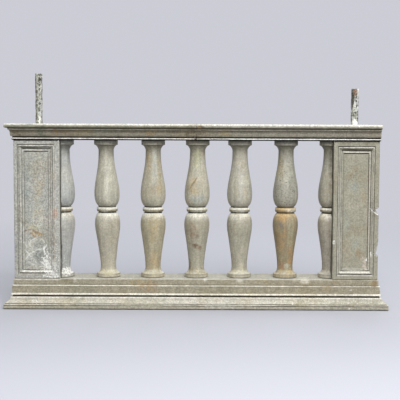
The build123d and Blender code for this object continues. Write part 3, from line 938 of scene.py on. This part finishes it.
def stains_on(name, part):
    """The stains nearest to a baluster's middle that are on its lower or its upper stone."""
    for row in BALUSTER_STAINS:
        nearest = min(BALUSTERS, key=lambda other: abs(BALUSTERS[other][0] - row[1]))
        if nearest == name and (row[2] > BASE_TOP + STONES_MEET) == (part == "upper"):
            yield row


def own_marks(look, node):
    """What a single stone has besides its stains."""
    x, _, z = look.points.T
    if node.startswith("left_half_baluster"):
        # Painted shade in the gap against the pier.
        look.tint(SHADE_AND_DIRT, 1 - ease(1.5, 4, x + PIER_INNER_FACE), 0.6)
    if node == "left_half_baluster_lower":
        look.marks("lime", (-655, 180, 40, 26, 1, 301), (-668, 225, 20, 40, 0.7, 302))
    if node == "baluster_1_upper":
        look.marks("lime", (-452, 708, 20, 3, 0.9, 303))
    if node == "baluster_3_upper":
        look.tint((106, 90, 60), trace(look.points, [(-34, 604), (-18, 632), (-2, 656)], 4.4, 304), 0.6)
    if node == "baluster_5_upper":
        look.masks["pits"][:] = 0.25 + 0.75 * (1 - ease(640, 780, z))


def baluster_stone(name, part, seed):
    middle, side, *colours = BALUSTERS[name]
    node = name + "_" + part
    points, faces = turned(rising(SECTIONS[part](), 1, SECTION_STEP), plan(side))
    points += (middle, 0, BASE_TOP)
    colour = colours[part == "upper"]
    points, faces, look = weather(points, faces, colour, seed, nicks=0.7, waves=0.6)
    level = look.points[:, 2] - BASE_TOP
    if part == "lower":
        uneven = 0.8 + 0.5 * noise(look.points, 60, seed + 31)
        lower_tints(look, level, PALE_OCHRE if name == "baluster_5" else PALE, uneven)
    else:
        look.bands(level, UPPER_BULB_BANDS)
        # Painted shade on the neck under the abacus.
        look.tint((104, 97, 78), ease(590, 666, level) * (1 - ease(672, 673, level)), 0.42)
        # A painted highlight on the upper bulb's upward-facing shoulder.
        look.tint((206, 202, 184), strip(level, 500, 560, 40), 0.25)
        look.masks["wear"] *= 1 - ease(684, 690, level)
    look.stains(numbered(stains_on(name, part), seed + 40))
    own_marks(look, node)
    foot_lean, head_lean = LEANS.get(name, (0, 0))
    lean = foot_lean + (head_lean - foot_lean) * level / PIER_HEIGHT
    make_piece(node, "baluster_stone", points, faces, look, lean=lean)


# ---- the rail ----
RAIL_FLANK = [
    (6, -RAIL_DRIP), (6, 2.6), (10, 2.6), (10, 8.8), (4, 8.8), (4, 15), (10, 15),
    *arc((10, 15), (13.7, 23.5), (14.2, 32))[1:],
    *arc((14.2, 32), (15.3, 39.75), (20, 47.5))[1:],
    (24, 47.5), (24, 55.5), (36, 57.5), (40, 61.5), (40, 72),
    *arc((40, 72), (37.66, 77.66), (32, 80), 4)[1:],
]
# Bands by level: painted shadow on the drip, a painted highlight on the foot's fillet, painted shade in
# the quirk, a paler strip on the cyma's lower part, painted shade on its upper part and under the lip, and
# a painted highlight on the small fillet.
RAIL_BANDS = (
    ((12, 9, 6), UNDER, 2.5, 0.6, 0.97),
    ((253, 251, 243), 3.2, 8.6, 0.4, 0.98),
    ((14, 11, 7), 9, 15.2, 0.4, 0.94),
    ((152, 147, 132), 17, 31, 5, 0.6),
    ((104, 98, 81), 40, 46.5, 6, 0.4),
    ((206, 200, 184), 47.6, 51.5, 1, 0.85),
    ((92, 86, 71), 53, 60.5, 2, 0.7),
)
# A painted highlight along the lip's top arris, and a plainer tone on the top face.
RAIL_TOP_BANDS = (
    ((188, 186, 172), 70, OVER, 4, 0.6),
    ((236, 234, 224), 73.5, OVER, 4, 0.9),
    ((196, 193, 180), 79.9, OVER, 0.9, 0.9),
)
LEFT_RAIL_STAINS = (
    ((92, 84, 64), -885, 880, 40, 22, 0.7),
    ((84, 96, 76), -765, 884, 26, 36, 0.7),
    ((140, 112, 76), -701, 878, 14, 20, 0.6),
    ((134, 120, 84), -557, 882, 60, 20, 0.6),
    ((120, 96, 70), -640, 878, 30, 16, 0.5),
    ((146, 126, 90), -231, 884, 30, 20, 0.7),
    ((96, 86, 66), -20, 884, 30, 40, 0.8),
    ((128, 132, 120), -430, 884, 90, 20, 0.5),
    ((134, 140, 122), -860, 914, 90, 10, 0.6),
)
RIGHT_RAIL_STAINS = (
    ((96, 84, 64), 16, 884, 22, 40, 0.8),
    ((160, 130, 84), 12, 904, 8, 12, 0.7),
    ((150, 130, 86), 145, 880, 24, 18, 0.6),
    ((132, 122, 100), 60, 880, 50, 22, 0.4),
    ((140, 138, 126), 520, 884, 160, 22, 0.4),
)


def rail_stone(low_x, high_x, low_returned, seed, colour, lip, stains):
    rings = [
        (low_x - reach * low_returned, high_x, -PIER_FRONT - reach, PIER_FRONT + reach, RAIL_FOOT + level)
        for reach, level in rising(RAIL_FLANK, 1, FLANK_STEP)
    ]
    points, faces = block(rings, places(high_x - low_x, LENGTH_STEP), places(2 * PIER_FRONT, DEPTH_STEP))
    points, faces, look = weather(points, faces, colour, seed)
    x, _, z = look.points.T
    level = z - RAIL_FOOT
    look.bands(level, (*RAIL_BANDS, (lip, 65, OVER, 4, 0.85), *RAIL_TOP_BANDS))
    near_joint = 1 - ease(3, 9, np.abs(x - RAIL_JOINT))
    points += 0.7 * near_joint[:, None] * (look.points - points)
    look.masks["wear"] *= ease(12, 18, level) * (1 - near_joint)
    look.tint((84, 76, 58), near_joint, 0.2)
    look.stains(numbered(stains, seed + 60))
    return points, faces, look


def left_rail_stone():
    points, faces, look = rail_stone(
        -PIER_END, RAIL_JOINT, True, 15, (122, 115, 98), (138, 137, 118), LEFT_RAIL_STAINS
    )
    points, inside = hollow(points, 0, -104, RAIL_FOOT + 3, 11, 6, 5, (-0.5, 0.7, 0.6))
    look.tint((70, 60, 44), inside, 0.7)
    make_piece("left_rail_stone", "rail_stone", points, faces, look, drip=RAIL_DRIP)


def right_rail_stone():
    points, faces, look = rail_stone(
        RAIL_JOINT, RAIL_CUT, False, 16, (132, 127, 114), (158, 156, 143), RIGHT_RAIL_STAINS
    )
    level = look.points[:, 2] - RAIL_FOOT
    # A painted highlight along the top arris toward the right end.
    top_edge_highlight = ease(74, 79, level) * (1 - ease(79, 79.9, level))
    look.tint((222, 220, 208), top_edge_highlight * ease(300, 700, look.points[:, 0]), 0.6)
    look.marks("lime", (795, 922, 22, 9, 0.9, 201))
    make_piece("right_rail_stone", "rail_stone", points, faces, look, drip=RAIL_DRIP)


# ---- the iron rods ----
ROD_SUNK = 12  # how far a rod is made down into the rail
ROD_STEP, ROD_PLAN = 2.6, 72  # distance between a rod's rings, and points in a ring
LEFT_ROD_ZONES = (  # stains, whose height gives their seed
    ((192, 192, 178), -807, 1120, 5, 60, 0.7),
    ((112, 110, 96), -791, 1130, 5, 48, 0.75),
    ((132, 132, 118), -811, 970, 5, 60, 0.7),
    ((44, 38, 30), -788, 1146, 4, 9, 0.95),
    ((58, 50, 38), -790, 1168, 9, 5, 0.8),
    ((226, 224, 212), -784, 1090, 5, 70, 0.7),
    ((150, 156, 140), -800, 985, 14, 40, 0.5),
    ((214, 216, 214), -785, 980, 8, 60, 0.7),
)
RIGHT_ROD_ZONES = (
    ((150, 96, 58), 797, 1086, 8, 16, 0.9),
    ((84, 84, 76), 785, 1060, 9, 44, 0.9),
    ((96, 92, 80), 803, 1040, 4, 44, 0.8),
    ((204, 206, 198), 788, 975, 9, 40, 0.85),
    ((72, 68, 54), 800, 1052, 8, 14, 0.8),
    ((60, 50, 38), 790, 1102, 12, 5, 0.8),
    ((240, 240, 236), 813, 1060, 5, 66, 1),
    ((234, 233, 226), 795, 1020, 5, 30, 0.8),
    ((186, 190, 176), 798, 985, 18, 30, 0.6),
)


def rod(node, seed, zones):
    """A rust-swollen bar: plates of scale left proud, pits between them, limewash remains."""
    (low_x, _, _), (high_x, _, top) = solid_box(node).round(1)
    radius, height = (high_x - low_x) / 2, top - RAIL_TOP
    levels = np.linspace(-ROD_SUNK, height, round((height + ROD_SUNK) / ROD_STEP) + 1)[:-2]
    tip = [(radius - 0.6, height - 1.2), (radius - 2.6, height)]
    points, faces = turned([(radius, level) for level in levels] + tip, circle(ROD_PLAN))
    points += ((low_x + high_x) / 2, 0, RAIL_TOP)
    faces, normals = outward_faces(points - points.mean(axis=0), faces)
    scale = ease(-0.05, 0.12, fractal(points * (1, 1, 0.45), 15, seed, 4))
    rough = fractal(points, 5, seed + 1, 3)
    pits = ease(0.3, 0.6, fractal(points, 11, seed + 2, 3))
    depth = 0.2 + (1 - scale) * 1.5 + 0.35 * (1 + rough) + pits * 1.4
    depth *= 1 - 0.6 * ease(height - 6, height, points[:, 2] - RAIL_TOP)
    look = Look(points.copy(), (118, 116, 102))
    look.tint((206, 207, 198), scale, 0.85)
    look.tint((52, 48, 38), pits, 0.9)
    look.stains((*zone, seed + int(zone[2])) for zone in zones)
    look.masks["grime_and_shade"] = np.clip(0.8 * pits + 0.3 * (1 - scale), 0, 1)
    look.masks["pits"][:] = 0.8
    return points - normals * np.maximum(depth, 0.1)[:, None], faces, look


def left_rod():
    points, faces, look = rod("left_rod", 17, LEFT_ROD_ZONES)
    look.marks("lime", (-795, 945, 12, 26, 0.7, 211))
    x, _, z = look.points.T
    # Painted shade along the rod's left edge, which is also kept bare of limewash flakes.
    bare_and_shaded = (1 - ease(-814, -809.5, x)) * ease(980, 1050, z)
    look.tint((40, 37, 30), bare_and_shaded, 0.9)
    look.masks["wear"] = bare_and_shaded
    make_piece("left_rod", "rusted_iron", points, faces, look)


def right_rod():
    points, faces, look = rod("right_rod", 18, RIGHT_ROD_ZONES)
    look.marks("lime", (797, 934, 16, 22, 1, 212))
    look.marks("wear", (795, 1088, 10, 20, 0.9, 214), (786, 1060, 8, 44, 0.9, 215))
    look.tint((240, 239, 232), look.masks["lime"], 0.8)
    make_piece("right_rod", "rusted_iron", points, faces, look)


# ---- materials ----
COLOUR_A, COLOUR_B, MIXED_COLOUR = 6, 7, 2  # a Mix node's sockets for colours


class Tree:
    """Short names for the shader nodes that the materials, the floor and the world share."""

    def __init__(self, owner, kind, coordinates="Object"):
        owner.use_nodes = True
        self.nodes = owner.node_tree.nodes
        self.links = owner.node_tree.links
        self.nodes.clear()
        self.output = self.nodes.new("ShaderNodeOutput" + kind)
        self.place = self.add("TexCoord", coordinates, {})

    def feed(self, socket, value):
        if isinstance(value, bpy.types.NodeSocket):
            self.links.new(value, socket)
        else:
            socket.default_value = value

    def add(self, kind, output, inputs, **settings):
        """Add a node with these inputs and settings, and give one of its outputs."""
        node = self.nodes.new("ShaderNode" + kind)
        for name, value in settings.items():
            setattr(node, name, value)
        for name, value in inputs.items():
            self.feed(node.inputs[name], value)
        return node.outputs[output]

    def attribute(self, name, output="Fac"):
        return self.add("Attribute", output, {}, attribute_name=name)

    def stretch(self, scale):
        return self.add("Mapping", "Vector", {"Scale": scale, "Vector": self.place})

    def noise(self, scale, detail=3, roughness=0.55, place=None):
        inputs = {"Scale": scale, "Detail": detail, "Roughness": roughness, "Vector": place or self.place}
        return self.add("TexNoise", "Fac", inputs)

    def maths(self, operation, a, b):
        return self.add("Math", "Value", {0: a, 1: b}, operation=operation)

    def times(self, a, b):
        return self.maths("MULTIPLY", a, b)

    def between(self, value, low, high, start=0, end=1, steps="SMOOTHSTEP"):
        inputs = {"Value": value, "From Min": low, "From Max": high, "To Min": start, "To Max": end}
        return self.add("MapRange", "Result", inputs, interpolation_type=steps)

    def mix(self, factor, a, b, blend="MIX"):
        inputs = {0: factor, COLOUR_A: a, COLOUR_B: b}
        return self.add("Mix", MIXED_COLOUR, inputs, data_type="RGBA", blend_type=blend)

    def cover(self, colour, mask, strength, red, green, blue):
        """Lay a new colour over the old one where a mask is, as strongly as told."""
        return self.mix(self.times(mask, strength), colour, colour4(red, green, blue))

    def shade(self, colour, low, high, mask, reach=0.14):
        """Multiply a colour by a grey that runs between two values as the mask does."""
        grey = self.between(mask, 0.5 - reach, 0.5 + reach, low, high)
        return self.add("VectorMath", "Vector", {0: colour, "Scale": grey}, operation="SCALE")

    def bump(self, height, distance, strength, normal=None):
        """Bump, on top of an earlier bump where there is one."""
        inputs = {"Height": height, "Distance": distance, "Strength": strength}
        if normal:
            inputs["Normal"] = normal
        return self.add("Bump", "Normal", inputs)

    def finish(self, shader):
        self.feed(self.output.inputs["Surface"], shader)

    def surface(self, colour, roughness, normal, specular=0.5):
        inputs = {"Base Color": colour, "Roughness": roughness, "Normal": normal}
        self.finish(self.add("BsdfPrincipled", "BSDF", {**inputs, "Specular IOR Level": specular}))

    def visible_ray(self):
        """1 for what the camera sees, straight or in a reflection, and 0 for light that bounces."""
        ray = self.nodes.new("ShaderNodeLightPath").outputs
        visible = ray["Is Camera Ray"]
        for name in ("Is Glossy Ray", "Is Transmission Ray"):
            visible = self.maths("MAXIMUM", visible, ray[name])
        return visible


def colour4(red, green, blue):
    return (*linear((red, green, blue)), 1)


WARM = colour4(236, 222, 196)
COOL = colour4(226, 232, 230)
TALL, STREAKED = (1, 1, 0.6), (75, 75, 4)  # how patterns are drawn out upwards


def stone_material(name, streaks, mottle, grain, polish):
    """Weathered limestone: mottling, streaks, grain, pits, worn arrises, dirt and painted shade in
    corners, and lime.
    """
    material = bpy.data.materials.new(name)
    tree = Tree(material, "Material")
    soaked = tree.between(tree.noise(48, 6, 0.72), 0.4, 0.58, 0.15)
    ground, stained = (tree.attribute(kind + "_colour", "Color") for kind in ("ground", "stained"))
    colour = tree.mix(soaked, ground, stained)
    broad = tree.between(tree.noise(5.5, 4, 0.6), 0.5, 0.72, 0, 0.35)
    colour = tree.mix(broad, colour, WARM, "MULTIPLY")
    other = tree.between(tree.noise(8, 4, 0.6, tree.stretch(TALL)), 0.5, 0.7, 0, 0.4)
    colour = tree.mix(other, colour, COOL, "MULTIPLY")
    streak = tree.noise(1, 4, 0.6, tree.stretch(STREAKED))
    colour = tree.shade(colour, 1 - streaks, 1 + streaks, streak)
    blotch = tree.noise(38, 5, 0.68)
    colour = tree.shade(colour, 1 - mottle, 1 + mottle, blotch)
    fine = tree.noise(130, 3, 0.75)
    colour = tree.shade(colour, 1 - grain, 1 + grain, fine, 0.09)
    speck = tree.between(tree.noise(230, 2, 0.5), 0.62, 0.72, 0, 0.45)
    colour = tree.mix(speck, colour, colour4(104, 97, 78))

    scratch = tree.times(tree.attribute("web"), tree.between(tree.noise(60), 0.36, 0.56))
    colour = tree.cover(colour, scratch, 0.9, 232, 232, 224)
    cells = tree.add("TexVoronoi", "Distance", {"Scale": 105, "Vector": tree.place})
    holes = tree.times(tree.between(cells, 0.16, 0.34, 1, 0), tree.between(tree.noise(60), 0.4, 0.55))
    pits = tree.times(holes, tree.attribute("pits"))
    colour = tree.cover(colour, pits, 0.8, 62, 58, 44)
    broken = tree.noise(70, 5, 0.7)
    worn = tree.times(tree.attribute("wear"), tree.between(broken, 0.3, 0.62))
    colour = tree.cover(colour, worn, 0.75, 222, 217, 202)
    # Dirt and painted shade in corners.
    dirt_and_shade = tree.times(tree.attribute("grime_and_shade"), tree.between(broken, 0.75, 0.35, 0.55))
    colour = tree.cover(colour, dirt_and_shade, 0.85, 70, 64, 48)

    spray = tree.noise(150, 4, 0.7, tree.stretch(TALL))
    lime = tree.between(tree.maths("ADD", tree.times(tree.attribute("lime"), 0.34), spray), 0.79, 0.86)
    drops = tree.maths("ADD", tree.times(tree.attribute("spray"), 0.3), tree.noise(185, 3, 0.65))
    lime = tree.maths("MAXIMUM", lime, tree.between(drops, 0.83, 0.9, 0, 0.85))
    colour = tree.mix(lime, colour, colour4(250, 249, 243))

    roughness = tree.between(broken, 0.2, 0.8, 0.74 - polish, 0.94 - polish)
    normal = tree.bump(blotch, 0.0022, 0.5)
    normal = tree.bump(fine, 0.0008, 0.55, normal)
    normal = tree.bump(tree.maths("SUBTRACT", lime, pits), 0.0012, 0.6, normal)
    tree.surface(colour, roughness, normal, 0.3 + 0.5 * polish)
    return material


def iron_material(name):
    """Rusted iron under flaking limewash."""
    material = bpy.data.materials.new(name)
    tree = Tree(material, "Material")
    broken = tree.noise(110, 5, 0.72)
    colour = tree.shade(tree.attribute("stained_colour", "Color"), 0.72, 1.16, broken)
    rust = tree.between(tree.noise(45, 4, 0.65), 0.58, 0.7, 0, 0.3)
    colour = tree.mix(rust, colour, colour4(118, 94, 72))
    flakes = tree.between(tree.noise(120, 3, 0.7, tree.stretch(TALL)), 0.55, 0.62, 0, 0.85)
    bare_and_shaded = tree.attribute("wear")
    colour = tree.cover(colour, flakes, tree.maths("SUBTRACT", 1, bare_and_shaded), 228, 230, 224)
    holes = tree.between(tree.noise(100, 3, 0.6), 0.56, 0.62)
    colour = tree.cover(colour, holes, tree.attribute("pits"), 34, 31, 26)
    colour = tree.cover(colour, tree.attribute("grime_and_shade"), 0.5, 60, 56, 46)
    lime = tree.maths("ADD", tree.times(tree.attribute("lime"), 0.6), tree.noise(95, 4, 0.7))
    colour = tree.mix(tree.between(lime, 0.8, 0.95), colour, colour4(244, 243, 236))
    normal = tree.bump(broken, 0.0012, 0.8)
    normal = tree.bump(tree.noise(320, 2, 0.6), 0.0005, 0.6, normal)
    tree.surface(colour, tree.between(broken, 0.2, 0.8, 0.68, 0.95), normal)
    return material


materials = {
    "base_stone": stone_material("base_limestone", 0.02, 0.1, 0.18, 0),
    "pier_stone": stone_material("pier_limestone", 0.03, 0.08, 0.13, 0.05),
    "limed_stone": stone_material("limed_limestone", 0.03, 0.1, 0.24, 0),
    "baluster_stone": stone_material("baluster_limestone", 0.1, 0.07, 0.12, 0.28),
    "rail_stone": stone_material("rail_limestone", 0.03, 0.11, 0.2, 0),
    "rusted_iron": iron_material("rusted_iron_limewashed"),
}

# ---- make every piece ----
base_lower_course()
base_upper_course()
left_pier()
right_pier()
for number, baluster in enumerate(BALUSTERS):
    baluster_stone(baluster, "lower", 405 + 10 * number)
    baluster_stone(baluster, "upper", 410 + 10 * number)
left_rail_stone()
right_rail_stone()
left_rod()
right_rod()

# ---- stage, light and camera, in metres ----
BACKGROUND = (0.6, 0.606, 0.665, 1)
FLOOR_COLOUR = (0.56, 0.565, 0.62, 1)
FLOOR_BOUNCE = (0.3, 0.3, 0.31, 1)
FLOOR_HALF = 40
FADE_START, FADE_END = 1.6, 5
SKY_RISE, SKY_STRENGTH = (-0.2, 0.9), (0.085, 0.8)  # the light grows between two heights
LAMPS_AIM = Vector((0, 0, 0.5))
SENSOR_WIDTH, LENS = 36, 85.5  # millimetres
CAMERA_PLACE = (0.0177, -4.825, 0.9156)
CAMERA_PITCH, CAMERA_ROLL = math.radians(4.45), math.radians(0.25)


def make_floor():
    """A pale floor that keeps the shadow and fades into the background further out."""
    mesh = bpy.data.meshes.new("floor")
    corners = [(x * FLOOR_HALF, y * FLOOR_HALF, 0) for x, y in ((-1, -1), (1, -1), (1, 1), (-1, 1))]
    mesh.from_pydata(corners, [], [(0, 1, 2, 3)])
    floor = bpy.data.objects.new("floor", mesh)
    bpy.context.collection.objects.link(floor)
    material = bpy.data.materials.new("pale_floor")
    tree = Tree(material, "Material")
    visible = tree.visible_ray()
    near = tree.add("BsdfDiffuse", "BSDF", {"Color": tree.mix(visible, FLOOR_BOUNCE, FLOOR_COLOUR)})
    far = tree.add("Emission", "Emission", {"Color": BACKGROUND})
    distance = tree.add("VectorMath", "Value", {0: tree.place}, operation="LENGTH")
    fade = tree.times(tree.between(distance, FADE_START, FADE_END), visible)
    tree.finish(tree.add("MixShader", "Shader", {0: fade, 1: near, 2: far}))
    mesh.materials.append(material)


def make_world():
    """Even light from above, little from below, and a plain pale background for the camera."""
    world = bpy.data.worlds.new("studio")
    bpy.context.scene.world = world
    tree = Tree(world, "World", "Generated")
    rise = tree.add("SeparateXYZ", "Z", {0: tree.place})
    strength = tree.between(rise, *SKY_RISE, *SKY_STRENGTH, "LINEAR")
    sky = tree.add("Background", "Background", {"Color": (0.97, 0.985, 1, 1), "Strength": strength})
    plain = tree.add("Background", "Background", {"Color": BACKGROUND})
    tree.finish(tree.add("MixShader", "Shader", {0: tree.visible_ray(), 1: sky, 2: plain}))


def make_lamp(name, location, size, power):
    data = bpy.data.lights.new(name, "AREA")
    data.shape = "SQUARE"
    data.size = size
    data.energy = power
    lamp = bpy.data.objects.new(name, data)
    bpy.context.collection.objects.link(lamp)
    lamp.location = location
    lamp.rotation_euler = (Vector(location) - LAMPS_AIM).to_track_quat("Z", "Y").to_euler()


def make_camera():
    data = bpy.data.cameras.new("camera")
    data.sensor_width = SENSOR_WIDTH
    data.lens = LENS
    camera = bpy.data.objects.new("camera", data)
    bpy.context.collection.objects.link(camera)
    camera.location = CAMERA_PLACE
    tilt = Matrix.Rotation(math.pi / 2 - CAMERA_PITCH, 4, "X") @ Matrix.Rotation(CAMERA_ROLL, 4, "Z")
    camera.rotation_euler = tilt.to_euler()
    bpy.context.scene.camera = camera


make_floor()
make_world()
make_lamp("front_top", (1.3, -4.1, 3.6), 3.2, 238)
make_lamp("back_top", (0.8, 4, 3.6), 3, 62)
make_camera()
bpy.context.scene.view_settings.view_transform = "Standard"
